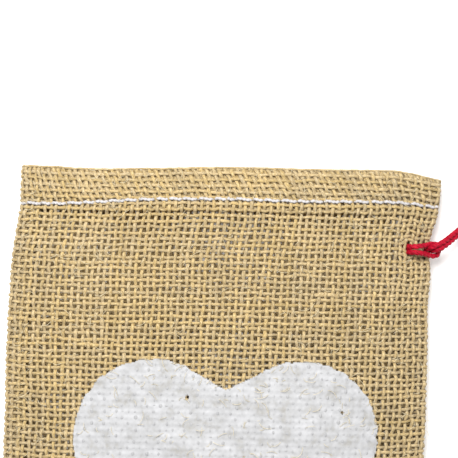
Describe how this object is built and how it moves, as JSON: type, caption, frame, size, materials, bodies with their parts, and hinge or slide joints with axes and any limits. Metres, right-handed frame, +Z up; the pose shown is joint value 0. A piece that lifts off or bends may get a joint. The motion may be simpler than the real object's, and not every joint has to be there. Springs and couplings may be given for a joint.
{
  "type": "fabric gift sack",
  "caption": "Small open-topped jute gift sack lying flat, with a sewn hem, a printed heart and a tie cord hitched through its side seam.",
  "frame": {"origin": "middle of the sack's footprint, on the surface that it lies on", "axes": "+Y along the sack towards its mouth, +X across it towards the tie cord's seam, +Z up out of the printed face"},
  "size_m": [0.1331, 0.14, 0.0135],
  "materials": {
    "jute_cloth": "coarse open plain weave",
    "sewing_thread": "soft spun thread",
    "heart_paint": "matt screen-printed paint",
    "tie_cord": "twisted satin cord"
  },
  "bodies": {
    "sack": {"front_left_margin": "jute_cloth", "front_right_margin": "jute_cloth", "back_panel": "jute_cloth", "bottom_fold": "jute_cloth", "side_hem_turnings": "jute_cloth", "back_hem_turning": "jute_cloth", "left_seam_allowance": "jute_cloth", "right_seam_allowance": "jute_cloth", "left_seam_stitching": "sewing_thread", "right_seam_stitching": "sewing_thread", "side_hem_stitching": "sewing_thread", "back_hem_stitching": "sewing_thread", "tie_bight": "tie_cord", "tie_back_strand_upper": "tie_cord", "tie_back_strand_lower": "tie_cord"},
    "front": {"front_panel": "jute_cloth", "front_hem_turning": "jute_cloth", "front_hem_stitching": "sewing_thread", "heart_print": "heart_paint"},
    "tie": {"tie_end_upper": "tie_cord", "tie_end_lower": "tie_cord", "tie_coil": "tie_cord", "tie_end_knots": "tie_cord"}
  },
  "joints": [
    {"name": "mouth_open", "type": "hinge", "parent": "sack", "child": "front", "pos_m": [0, -0.0682, 0.0018], "axis": [1, 0, 0], "range_deg": [0, 9]},
    {"name": "tie_swing", "type": "hinge", "parent": "sack", "child": "tie", "pos_m": [0.05205, 0.0524, 0.005], "axis": [0, 0, 1], "range_deg": [-15, 15]}
  ]
}
